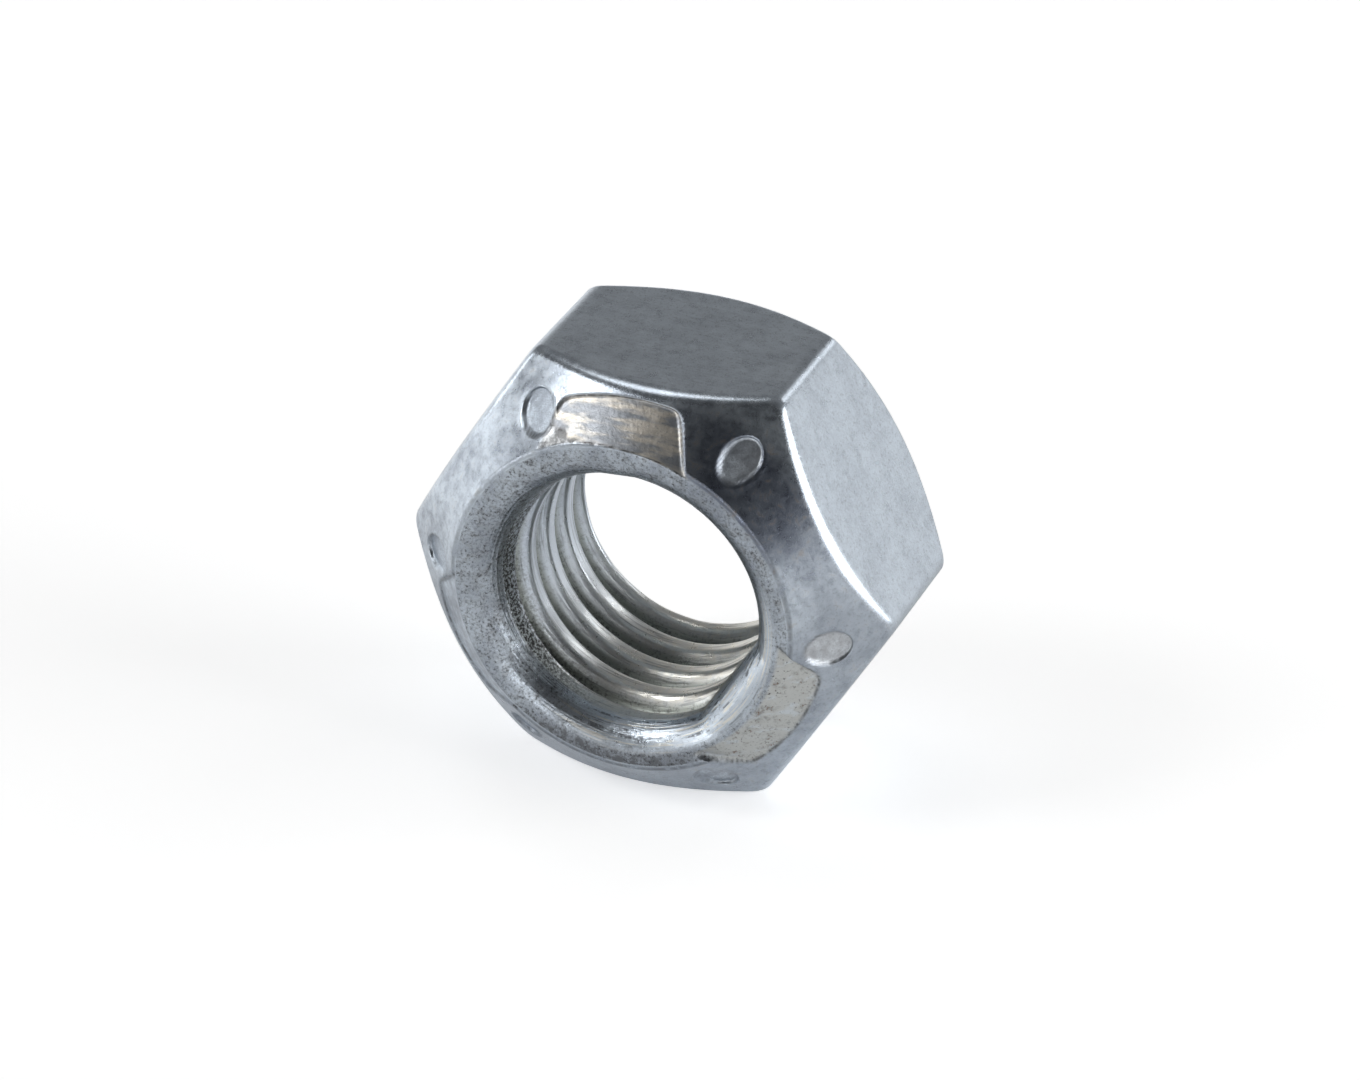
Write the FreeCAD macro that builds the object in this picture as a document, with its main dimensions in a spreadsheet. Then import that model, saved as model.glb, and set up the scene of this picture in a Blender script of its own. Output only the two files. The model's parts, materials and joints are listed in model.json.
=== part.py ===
import FreeCAD, Part
import math
import os

import Sketcher

# All-metal hexagon lock nut with a pressed top, in millimetres and degrees.
# The nut is drawn about its own thread axis: bearing face at height 0, pressed top up.
# It is then stood on one flat, with the pressed top towards -Y.
SIZES = {
    # hexagon
    "across_flats": 18.9,
    "overall_height": 11.1,
    "corner_radius": 0.75,
    # half-inch coarse thread, 13 turns to the inch
    "bore_diameter": 10.8,
    "thread_depth": 0.95,
    "thread_pitch": 1.9538,
    "thread_flank_angle": 30.0,
    "thread_phase": 1.73,
    # bell mouth, pressed in over the end of the thread
    "mouth_margin": 0.6,
    "mouth_radius": 1.5,
    "mouth_angle": 13.0,
    "closed_margin": 0.137,
    # level land round the mouth, and the conical crown below it
    "land_width": 0.357,
    "land_edge_width": 0.15,
    "crown_angle": 45.0,
    # bearing face
    "bearing_inset": 0.35,
    "bearing_angle": 45.0,
    "countersink_margin": 1.1,
    "countersink_angle": 45.0,
    # three pads pressed into the crown, not quite evenly round it
    "first_pad_phase": 95.0,
    "second_pad_phase": -30.0,
    "third_pad_phase": -153.0,
    "pad_reach": 1.35,
    "pad_outer_span": 32.0,
    "pad_inner_span": 77.0,
    "pad_depth": 0.22,
    "pad_corner_radius": 0.35,
    # bar of metal squeezed inwards behind each pad: a narrow band between two rounded edges
    "squeeze_margin": 0.1,
    "squeeze_band": 0.2,
    "squeeze_radius": 1.0,
    "squeeze_drop": 0.1,
    # six round pin marks, one near each corner
    "mark_count": 6,
    "mark_phase": 119.0,
    "mark_inset": 0.7,
    "mark_diameter": 1.65,
    "mark_depth": 0.14,
}

# Heights and radii that follow from the sizes
BORE_RADIUS = "(Sizes.bore_diameter / 2)"
THREAD_RADIUS = f"({BORE_RADIUS} + Sizes.thread_depth)"
THREAD_START = "(Sizes.thread_phase - 2 * Sizes.thread_pitch)"
ROOT_HALF_WIDTH = "(Sizes.thread_pitch / 16)"
GROOVE_INNER_RADIUS = f"({BORE_RADIUS} - Sizes.thread_pitch / 10)"
GROOVE_HALF_WIDTH = (f"({ROOT_HALF_WIDTH} + ({THREAD_RADIUS} - {GROOVE_INNER_RADIUS})"
                     " * tan(Sizes.thread_flank_angle))")
MOUTH_RADIAL = f"({BORE_RADIUS} + Sizes.mouth_margin)"
MOUTH_TANGENT = "(Sizes.mouth_radius * tan(45 - Sizes.mouth_angle / 2))"
CLOSED_DEPTH = f"({MOUTH_TANGENT} * cos(Sizes.mouth_angle) + Sizes.closed_margin)"
LAND_RADIUS = f"({MOUTH_RADIAL} + {MOUTH_TANGENT} + Sizes.land_width)"
FLAT_TOP = f"(Sizes.overall_height - (Sizes.across_flats / 2 - {LAND_RADIUS}) * tan(Sizes.crown_angle))"
BEARING_RADIUS = "(Sizes.across_flats / 2 - Sizes.bearing_inset)"
COUNTERSINK_RADIUS = f"({THREAD_RADIUS} + Sizes.countersink_margin)"
BAR_DISTANCE = f"({BORE_RADIUS} + Sizes.squeeze_margin)"
BAR_HEIGHT = "(2 * Sizes.squeeze_radius + Sizes.squeeze_band)"
BAR_REACH = f"({MOUTH_RADIAL} + Sizes.mouth_radius)"
BAR_HALF_SPAN = f"acos({BAR_DISTANCE} / {BAR_REACH})"
PAD_START = f"({FLAT_TOP} - 2 * Sizes.pad_depth)"
PAD_PHASES = ("Sizes.first_pad_phase", "Sizes.second_pad_phase", "Sizes.third_pad_phase")
MARK_RADIAL = "(Sizes.across_flats / 2 - Sizes.mark_inset)"
MARK_HEIGHT = f"({FLAT_TOP} + Sizes.mark_inset * tan(Sizes.crown_angle))"
CENTRE = ("0", "0")

# Shares along an edge at which it is sampled, and how closely a sample must fit, in millimetres
SAMPLES = (0.0, 0.25, 0.5, 0.75, 1.0)
TOLERANCE = 1e-4

os.makedirs("parts", exist_ok=True)
doc = FreeCAD.newDocument("top_lock_nut")
sheet = doc.addObject("Spreadsheet::Sheet", "Sizes")
for row, (alias, value) in enumerate(SIZES.items(), start=1):
    sheet.set(f"A{row}", alias)
    sheet.set(f"B{row}", str(value))
    sheet.setAlias(f"B{row}", alias)
doc.recompute()


def size(expression):
    """Value of an expression on the sheet's sizes."""
    result = sheet.evalExpression(expression)
    return getattr(result, "Value", result)


def new_body(label):
    """Empty body with its own label."""
    body = doc.addObject("PartDesign::Body", label)
    body.Label = label
    return body


def new_sketch(body, name, plane):
    """Sketch on one of the body's own origin planes."""
    sketch = body.newObject("Sketcher::SketchObject", name)
    origin_plane = next(item for item in body.Origin.OriginFeatures if item.Role == plane)
    sketch.AttachmentSupport = [(origin_plane, "")]
    sketch.MapMode = "FlatFace"
    return sketch


def turn_sketch(sketch, phase, height):
    """Turn a level sketch about the thread axis and lift it, both tied to the sheet."""
    turn = FreeCAD.Rotation(FreeCAD.Vector(0, 0, 1), size(phase))
    sketch.AttachmentOffset = FreeCAD.Placement(FreeCAD.Vector(0, 0, size(height)), turn)
    sketch.setExpression("AttachmentOffset.Rotation.Angle", f"{phase} * 1 deg")
    sketch.setExpression("AttachmentOffset.Base.z", f"{height} * 1 mm")


def constrain(sketch, kind, items, expression):
    """Dimension of a sketch tied to an expression on the sheet."""
    index = sketch.addConstraint(Sketcher.Constraint(kind, *items, size(expression)))
    sketch.setExpression(f"Constraints[{index}]", expression)


def add_arc(sketch, begin, finish, radius, centre):
    """Arc of under half a turn between two points, and the numbers of its ends at both."""
    middle = FreeCAD.Vector(size(centre[0]), size(centre[1]), 0)
    first = math.atan2(begin.y - middle.y, begin.x - middle.x)
    last = math.atan2(finish.y - middle.y, finish.x - middle.x)
    ends = (1, 2)
    if (last - first) % math.tau > math.pi:
        first, last = last, first
        ends = (2, 1)
    circle = Part.Circle(middle, FreeCAD.Vector(0, 0, 1), size(radius))
    number = sketch.addGeometry(Part.ArcOfCircle(circle, first, last), False)
    constrain(sketch, "Radius", (number,), radius)
    return ends


def draw_outline(sketch, corners, arcs=None):
    """Closed outline through corners, each a pair of expressions.

    A side is straight, or an arc where arcs gives its radius and centre under its number.
    """
    arcs = arcs or {}
    points = [FreeCAD.Vector(size(across), size(up), 0) for across, up in corners]
    ends = []
    for number, point in enumerate(points):
        following = points[(number + 1) % len(points)]
        if number in arcs:
            ends.append(add_arc(sketch, point, following, *arcs[number]))
        else:
            sketch.addGeometry(Part.LineSegment(point, following), False)
            ends.append((1, 2))
    for number, (across, up) in enumerate(corners):
        before = (number - 1) % len(corners)
        begin = ends[number][0]
        sketch.addConstraint(Sketcher.Constraint("Coincident", before, ends[before][1], number, begin))
        constrain(sketch, "DistanceX", (-1, 1, number, begin), across)
        constrain(sketch, "DistanceY", (-1, 1, number, begin), up)


def draw_circle(sketch, radius, centre):
    """Circle whose radius and centre are expressions."""
    middle = FreeCAD.Vector(size(centre[0]), size(centre[1]), 0)
    number = sketch.addGeometry(Part.Circle(middle, FreeCAD.Vector(0, 0, 1), size(radius)), False)
    constrain(sketch, "DistanceX", (-1, 1, number, 3), centre[0])
    constrain(sketch, "DistanceY", (-1, 1, number, 3), centre[1])
    constrain(sketch, "Radius", (number,), radius)


def turned(body, kind, name, sketch):
    """Full turn of a section about the sketch's upright axis: a Groove cuts, a Revolution adds."""
    feature = body.newObject(f"PartDesign::{kind}", name)
    feature.Profile = sketch
    feature.ReferenceAxis = (sketch, ["V_Axis"])
    feature.Angle = 360
    feature.Refine = False
    doc.recompute()
    return feature


def extruded(body, name, sketch, length):
    """Sketch drawn out upwards."""
    pad = body.newObject("PartDesign::Pad", name)
    pad.Profile = sketch
    pad.setExpression("Length", length)
    pad.Refine = False
    doc.recompute()
    return pad


def round_edges(body, name, base, edges, radius):
    """Fillet of some edges of a feature, its radius tied to the sheet."""
    fillet = body.newObject("PartDesign::Fillet", name)
    fillet.Base = (base, edges)
    fillet.setExpression("Radius", radius)
    fillet.Refine = False
    doc.recompute()
    return fillet


def edges_where(shape, test):
    """Names of the edges whose sampled points all pass a test."""
    names = []
    for number, edge in enumerate(shape.Edges, start=1):
        first, last = edge.ParameterRange
        points = [edge.valueAt(first + (last - first) * share) for share in SAMPLES]
        if all(test(point) for point in points):
            names.append(f"Edge{number}")
    return names


def on_mouth(point):
    """Whether a point lies on the circle where the mouth cone meets the land."""
    reach = math.hypot(point.x, point.y)
    return (abs(point.z - size("Sizes.overall_height")) < TOLERANCE
            and abs(reach - size(MOUTH_RADIAL)) < TOLERANCE)


def upright_edges(shape):
    """Names of the edges that change height from end to end."""
    return [
        f"Edge{number}" for number, edge in enumerate(shape.Edges, start=1)
        if edge.BoundBox.ZLength > TOLERANCE
    ]


def repeat_shape(body, name, axis_sketch, count):
    """Whole shape of a body repeated evenly round the thread axis."""
    polar = body.newObject("PartDesign::PolarPattern", name)
    polar.TransformMode = "Whole shape"
    polar.Axis = (axis_sketch, ["N_Axis"])
    polar.Angle = 360
    polar.setExpression("Occurrences", count)
    polar.Refine = False
    body.Tip = polar
    doc.recompute()


def join_bodies(body, name, kind, others):
    """Other bodies fused to a body, or cut from it."""
    boolean = body.newObject("PartDesign::Boolean", name)
    boolean.Type = kind
    boolean.setObjects(others)
    boolean.Refine = False
    doc.recompute()


def cut_below_floor(body, name, depth):
    """Cut a body away below a floor that runs parallel to the crown, a depth under it."""
    crown_apex = f"({FLAT_TOP} + Sizes.across_flats / 2 * tan(Sizes.crown_angle))"
    apex = f"({crown_apex} - {depth} / cos(Sizes.crown_angle))"
    foot = f"({apex} - Sizes.across_flats * tan(Sizes.crown_angle))"
    section = new_sketch(body, f"{name}_section", "XZ_Plane")
    draw_outline(section, [("0", apex), ("0", foot), ("Sizes.across_flats", foot)])
    turned(body, "Groove", name, section)


# Hexagon with rounded corners
nut = new_body("lock_nut")
hexagon = new_sketch(nut, "hexagon_outline", "XY_Plane")
draw_outline(hexagon, [
    (f"Sizes.across_flats / sqrt(3) * cos({angle})", f"Sizes.across_flats / sqrt(3) * sin({angle})")
    for angle in range(0, 360, 60)
])
prism = extruded(nut, "hexagon_prism", hexagon, "Sizes.overall_height")
round_edges(nut, "rounded_corners", prism, upright_edges(prism.Shape), "Sizes.corner_radius")

# Crown: cone above the flats, with a narrow slope between it and the land
crown = new_sketch(nut, "crown_section", "XZ_Plane")
crown_foot = f"({FLAT_TOP} - Sizes.across_flats / 2 * tan(Sizes.crown_angle))"
draw_outline(crown, [
    ("Sizes.across_flats", crown_foot),
    (f"{LAND_RADIUS} + Sizes.land_edge_width * cos(Sizes.crown_angle)",
     "Sizes.overall_height - Sizes.land_edge_width * sin(Sizes.crown_angle)"),
    (f"{LAND_RADIUS} - Sizes.land_edge_width", "Sizes.overall_height"),
    ("Sizes.across_flats", "Sizes.overall_height"),
])
turned(nut, "Groove", "crown_cone", crown)

# Chamfer round the bearing face
bearing = new_sketch(nut, "bearing_section", "XZ_Plane")
draw_outline(bearing, [
    (BEARING_RADIUS, "0"),
    ("Sizes.across_flats", f"(Sizes.across_flats - {BEARING_RADIUS}) * tan(Sizes.bearing_angle)"),
    ("Sizes.across_flats", "0"),
])
turned(nut, "Groove", "bearing_chamfer", bearing)

# Bore at the crests of the thread, its wall laid out as four quarter arcs
bore = new_sketch(nut, "bore_outline", "XY_Plane")
draw_outline(bore, [
    (f"{BORE_RADIUS} * cos({angle})", f"{BORE_RADIUS} * sin({angle})")
    for angle in range(45, 360, 90)
], {side: (BORE_RADIUS, CENTRE) for side in range(4)})
bore_cut = nut.newObject("PartDesign::Pocket", "bore")
bore_cut.Profile = bore
bore_cut.Type = "ThroughAll"
bore_cut.Reversed = True
bore_cut.Refine = False
doc.recompute()

# Countersink in the bearing face
countersink = new_sketch(nut, "countersink_section", "XZ_Plane")
draw_outline(countersink, [
    CENTRE,
    (COUNTERSINK_RADIUS, "0"),
    ("0", f"{COUNTERSINK_RADIUS} * tan(Sizes.countersink_angle)"),
])
turned(nut, "Groove", "countersink", countersink)

# Right-hand thread: its groove has a narrow flat root and straight flanks
thread_form = new_sketch(nut, "thread_groove_section", "XZ_Plane")
draw_outline(thread_form, [
    (GROOVE_INNER_RADIUS, f"{THREAD_START} - {GROOVE_HALF_WIDTH}"),
    (THREAD_RADIUS, f"{THREAD_START} - {ROOT_HALF_WIDTH}"),
    (THREAD_RADIUS, f"{THREAD_START} + {ROOT_HALF_WIDTH}"),
    (GROOVE_INNER_RADIUS, f"{THREAD_START} + {GROOVE_HALF_WIDTH}"),
])
thread = nut.newObject("PartDesign::SubtractiveHelix", "thread")
thread.Profile = thread_form
thread.ReferenceAxis = (thread_form, ["V_Axis"])
thread.Mode = "pitch-height-angle"
thread.setExpression("Pitch", "Sizes.thread_pitch")
thread.setExpression("Height", "Sizes.overall_height + 2 * Sizes.thread_pitch")
thread.Angle = 0
thread.LeftHanded = False
thread.Refine = False
doc.recompute()

# The pressing closes the last turn of the thread near the top
closed_ring = new_sketch(nut, "closed_ring_section", "XZ_Plane")
closed_foot = f"(Sizes.overall_height - {CLOSED_DEPTH})"
draw_outline(closed_ring, [
    (BORE_RADIUS, closed_foot),
    (f"{LAND_RADIUS} - Sizes.land_edge_width", closed_foot),
    (f"{LAND_RADIUS} - Sizes.land_edge_width", "Sizes.overall_height"),
    (BORE_RADIUS, "Sizes.overall_height"),
])
turned(nut, "Revolution", "closed_thread_end", closed_ring)

# Bell mouth: a steep cone whose edge with the land is rolled over
mouth = new_sketch(nut, "mouth_section", "XZ_Plane")
draw_outline(mouth, [
    ("0", "Sizes.overall_height"),
    ("0", f"Sizes.overall_height - {MOUTH_RADIAL} / tan(Sizes.mouth_angle)"),
    (MOUTH_RADIAL, "Sizes.overall_height"),
])
mouth_cone = turned(nut, "Groove", "mouth_cone", mouth)
round_edges(nut, "bell_mouth", mouth_cone, edges_where(mouth_cone.Shape, on_mouth), "Sizes.mouth_radius")


# Bars of metal squeezed inwards: straight across the mouth with a round nose
def squeezed_bar(phase):
    """Body with one bar, turned to a phase round the thread axis."""
    body = new_body("squeezed_bar")
    outline = new_sketch(body, "bar_outline", "XY_Plane")
    draw_outline(outline, [
        (BAR_DISTANCE, f"-{BAR_REACH} * sin({BAR_HALF_SPAN})"),
        (BAR_DISTANCE, f"{BAR_REACH} * sin({BAR_HALF_SPAN})"),
    ], {0: (BAR_REACH, CENTRE)})
    turn_sketch(outline, phase, f"(Sizes.overall_height - Sizes.squeeze_drop - {BAR_HEIGHT})")
    bar = extruded(body, "bar", outline, BAR_HEIGHT)
    turn = math.radians(size(phase))
    inwards = FreeCAD.Vector(math.cos(turn), math.sin(turn), 0)
    on_nose = edges_where(bar.Shape, lambda point: abs(point.dot(inwards) - size(BAR_DISTANCE)) < TOLERANCE)
    standing = upright_edges(bar.Shape)
    nose_edges = [name for name in on_nose if name not in standing]
    round_edges(body, "bar_nose", bar, nose_edges, "Sizes.squeeze_radius")
    return body


join_bodies(nut, "squeezed_mouth", "Fuse", [squeezed_bar(phase) for phase in PAD_PHASES])


# Press pads: ring sectors, wider towards the mouth, with a floor parallel to the crown
def press_pad(phase):
    """Body with the shape of one pad, turned to a phase round the thread axis."""
    body = new_body("press_pad")
    outline = new_sketch(body, "pad_outline", "XY_Plane")
    outer, inner = f"({LAND_RADIUS} + Sizes.pad_reach)", MOUTH_RADIAL
    half_outer, half_inner = "Sizes.pad_outer_span / 2", "Sizes.pad_inner_span / 2"
    draw_outline(outline, [
        (f"{outer} * cos({half_outer})", f"-{outer} * sin({half_outer})"),
        (f"{outer} * cos({half_outer})", f"{outer} * sin({half_outer})"),
        (f"{inner} * cos({half_inner})", f"{inner} * sin({half_inner})"),
        (f"{inner} * cos({half_inner})", f"-{inner} * sin({half_inner})"),
    ], {0: (outer, CENTRE), 2: (inner, CENTRE)})
    turn_sketch(outline, phase, PAD_START)
    pad = extruded(body, "pad", outline, f"Sizes.overall_height - {PAD_START} + Sizes.mouth_radius")
    round_edges(body, "pad_corners", pad, upright_edges(pad.Shape), "Sizes.pad_corner_radius")
    cut_below_floor(body, "pad_floor", "Sizes.pad_depth")
    return body


pads = [press_pad(phase) for phase in PAD_PHASES]

# Pin marks: round, with a shallow floor parallel to the crown
marks = new_body("mark_pins")
mark_outline = new_sketch(marks, "mark_outline", "XY_Plane")
draw_circle(mark_outline, "Sizes.mark_diameter / 2", (MARK_RADIAL, "0"))
turn_sketch(mark_outline, "Sizes.mark_phase", f"({MARK_HEIGHT} - Sizes.mark_diameter)")
extruded(marks, "mark", mark_outline, "2 * Sizes.mark_diameter")
cut_below_floor(marks, "mark_floor", "Sizes.mark_depth")
repeat_shape(marks, "six_marks", mark_outline, "Sizes.mark_count")
join_bodies(nut, "pressed_top", "Cut", [*pads, marks])

# The nut stands on one flat, its pressed top towards -Y
nut.Placement = FreeCAD.Placement(FreeCAD.Vector(0, 0, 0), FreeCAD.Rotation(FreeCAD.Vector(1, 0, 0), 90))
nut.setExpression("Placement.Base.y", "Sizes.overall_height / 2 * 1 mm")
nut.setExpression("Placement.Base.z", "Sizes.across_flats / 2 * 1 mm")
doc.recompute()

failed = [item.Label for item in doc.Objects if {"Invalid", "Error"} & set(item.State)]
if failed:
    raise RuntimeError(f"not built: {', '.join(failed)}")
if nut.Shape.isNull() or not nut.Shape.isValid() or len(nut.Shape.Solids) != 1:
    raise RuntimeError("the nut is not one valid solid")
nut.Shape.exportStep(f"parts/{nut.Label}.step")
print(nut.Label, round(nut.Shape.Volume, 1), "mm3")
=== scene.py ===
"""Visual model of an all-metal lock nut with a pressed top, dressed round its solid."""

import json
import logging
import math
from dataclasses import dataclass, field
from enum import Enum
from typing import Any, Union

import bpy
from mathutils import Matrix, Vector

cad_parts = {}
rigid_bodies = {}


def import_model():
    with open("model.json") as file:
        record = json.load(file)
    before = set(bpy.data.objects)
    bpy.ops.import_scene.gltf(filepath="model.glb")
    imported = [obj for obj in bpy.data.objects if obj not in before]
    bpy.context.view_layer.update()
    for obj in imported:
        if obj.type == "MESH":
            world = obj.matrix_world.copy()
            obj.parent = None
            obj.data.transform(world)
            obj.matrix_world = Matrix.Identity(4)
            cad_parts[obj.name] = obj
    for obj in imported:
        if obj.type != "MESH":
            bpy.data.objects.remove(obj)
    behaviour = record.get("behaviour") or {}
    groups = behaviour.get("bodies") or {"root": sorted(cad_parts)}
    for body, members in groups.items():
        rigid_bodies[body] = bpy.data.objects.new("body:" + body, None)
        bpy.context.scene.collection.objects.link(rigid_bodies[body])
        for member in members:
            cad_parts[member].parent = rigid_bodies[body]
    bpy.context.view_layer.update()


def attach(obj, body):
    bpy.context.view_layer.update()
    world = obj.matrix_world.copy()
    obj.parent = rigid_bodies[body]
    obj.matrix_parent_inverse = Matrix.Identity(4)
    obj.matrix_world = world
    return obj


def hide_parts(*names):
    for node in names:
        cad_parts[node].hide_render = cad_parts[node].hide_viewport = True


LOG = logging.getLogger("lock_nut")
MM = 0.001
Number = Union["Value", float]


class Value:
    """A number in a node tree. Python's operators on it add the tree's Math nodes."""

    def __init__(self, maker: "NodeMaker", socket: bpy.types.NodeSocket) -> None:
        """Wrap one output socket.

        Args:
            maker: The maker of the tree that the socket is in.
            socket: The output that carries the number.
        """
        self.maker = maker
        self.socket = socket

    def __add__(self, other: Number) -> "Value":
        """Sum."""
        return self.maker.math("ADD", self, other)

    def __radd__(self, other: float) -> "Value":
        """Sum, number first."""
        return self.maker.math("ADD", other, self)

    def __sub__(self, other: Number) -> "Value":
        """Difference."""
        return self.maker.math("SUBTRACT", self, other)

    def __rsub__(self, other: float) -> "Value":
        """Difference, number first."""
        return self.maker.math("SUBTRACT", other, self)

    def __mul__(self, other: Number) -> "Value":
        """Product."""
        return self.maker.math("MULTIPLY", self, other)

    def __rmul__(self, other: float) -> "Value":
        """Product, number first."""
        return self.maker.math("MULTIPLY", other, self)

    def __truediv__(self, other: Number) -> "Value":
        """Quotient."""
        return self.maker.math("DIVIDE", self, other)

    def __rtruediv__(self, other: float) -> "Value":
        """Quotient, number first."""
        return self.maker.math("DIVIDE", other, self)

    def __mod__(self, other: Number) -> "Value":
        """Remainder, never negative."""
        return self.maker.math("FLOORED_MODULO", self, other)

    def __neg__(self) -> "Value":
        """Opposite."""
        return self.maker.math("MULTIPLY", self, -1.0)

    def __abs__(self) -> "Value":
        """Size without sign."""
        return self.maker.math("ABSOLUTE", self)

    def sin(self) -> "Value":
        """Sine of an angle in radians."""
        return self.maker.math("SINE", self)

    def cos(self) -> "Value":
        """Cosine of an angle in radians."""
        return self.maker.math("COSINE", self)

    def root(self) -> "Value":
        """Square root, nought below nought."""
        return self.maker.math("SQRT", self.maker.math("MAXIMUM", self, 0.0))

    def least(self, other: Number) -> "Value":
        """The smaller of two."""
        return self.maker.math("MINIMUM", self, other)

    def most(self, other: Number) -> "Value":
        """The larger of two."""
        return self.maker.math("MAXIMUM", self, other)

    def soft_least(self, other: Number, width: float) -> "Value":
        """The smaller of two, with the crossing rounded over a width."""
        return self.maker.math("SMOOTH_MIN", self, other, width)

    def soft_most(self, other: Number, width: float) -> "Value":
        """The larger of two, with the crossing rounded over a width."""
        return self.maker.math("SMOOTH_MAX", self, other, width)

    def held(self, low: Number = 0.0, high: Number = 1.0) -> "Value":
        """Kept between two limits."""
        return self.most(low).least(high)

    def step(self, start: Number, end: Number, soft: bool = True) -> "Value":
        """0 at start, 1 at end, eased between them.

        Args:
            start: Where the step leaves 0.
            end: Where the step reaches 1; it may be below start.
            soft: Whether the step eases in and out.

        Returns:
            The step, between 0 and 1.
        """
        share = ((self - start) / (end - start)).held()
        return share * share * (3.0 - 2.0 * share) if soft else share

    def blend(self, low: Number, high: Number) -> "Value":
        """low where this is 0 and high where it is 1."""
        return low + (high - low) * self


class Tint:
    """A colour in a node tree."""

    def __init__(self, maker: "NodeMaker", socket: bpy.types.NodeSocket) -> None:
        """Wrap one colour output.

        Args:
            maker: The maker of the tree that the socket is in.
            socket: The output that carries the colour.
        """
        self.maker = maker
        self.socket = socket

    def over(self, other: Any, share: Number) -> "Tint":
        """Another colour laid over this one.

        Args:
            other: A Tint, or three numbers.
            share: How much of the other shows, 0 to 1.

        Returns:
            The mixed colour.
        """
        return self.maker.mix_colours(self, other, share)


class NodeMaker:
    """Adds nodes to one tree."""

    def __init__(self, tree: bpy.types.NodeTree) -> None:
        """Work on one tree, emptied first.

        Args:
            tree: The node tree to fill.
        """
        self.tree = tree
        tree.nodes.clear()

    def add(self, kind: str, settings: dict[str, Any] | None = None,
            sockets: dict[Any, Any] | None = None) -> bpy.types.Node:
        """Add one node.

        Args:
            kind: The node's type.
            settings: Properties that are set first.
            sockets: Values or links by input name or number.

        Returns:
            The new node.
        """
        node = self.tree.nodes.new(kind)
        for name, value in (settings or {}).items():
            setattr(node, name, value)
        for name, value in (sockets or {}).items():
            if isinstance(value, (Value, Tint)):
                value = value.socket
            if isinstance(value, bpy.types.NodeSocket):
                self.tree.links.new(value, node.inputs[name])
            else:
                node.inputs[name].default_value = value
        return node

    def value(self, socket: bpy.types.NodeSocket) -> Value:
        """Wrap a number's socket."""
        return Value(self, socket)

    def math(self, operation: str, *terms: Number) -> Value:
        """One Math node.

        Args:
            operation: The node's operation.
            terms: Its inputs in order.

        Returns:
            The result.
        """
        node = self.add("ShaderNodeMath", {"operation": operation}, dict(enumerate(terms)))
        return Value(self, node.outputs[0])

    def vector(self, across: Number, along: Number, up: Number) -> bpy.types.NodeSocket:
        """A vector made of three numbers."""
        return self.add("ShaderNodeCombineXYZ", {}, {0: across, 1: along, 2: up}).outputs[0]

    def parts(self, vector: bpy.types.NodeSocket) -> tuple[Value, Value, Value]:
        """The three numbers of a vector."""
        node = self.add("ShaderNodeSeparateXYZ", {}, {0: vector})
        return tuple(Value(self, output) for output in node.outputs)

    def noise(self, place: bpy.types.NodeSocket, scale: float, detail: float = 2.0,
              rough: float = 0.5, warp: float = 0.0) -> Value:
        """Cloudy noise about one half.

        Args:
            place: The coordinates.
            scale: Blotches per unit of the coordinates.
            detail: Octaves of finer noise.
            rough: Weight of the finer octaves.
            warp: How far the pattern is distorted.

        Returns:
            The noise, between 0 and 1.
        """
        node = self.add("ShaderNodeTexNoise", {"noise_dimensions": "3D"}, {
            "Vector": place, "Scale": scale, "Detail": detail, "Roughness": rough, "Distortion": warp})
        return Value(self, node.outputs[0])

    def mix_colours(self, below: Any, above: Any, share: Number) -> Tint:
        """One Mix node for colours.

        Args:
            below: The first colour.
            above: The second colour.
            share: How much of the second shows.

        Returns:
            The mixed colour.
        """
        below, above = (colour if isinstance(colour, Tint) else (*colour, 1.0) for colour in (below, above))
        node = self.add("ShaderNodeMix", {"data_type": "RGBA"}, {0: share, 6: below, 7: above})
        return Tint(self, node.outputs[2])


@dataclass(frozen=True)
class Corner:
    """A rounded corner of the nut's turned section."""

    radial: Number
    height: Number
    rounding: float
    heading: float
    line_rows: int
    arc_rows: int
    eased: bool = True


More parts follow.
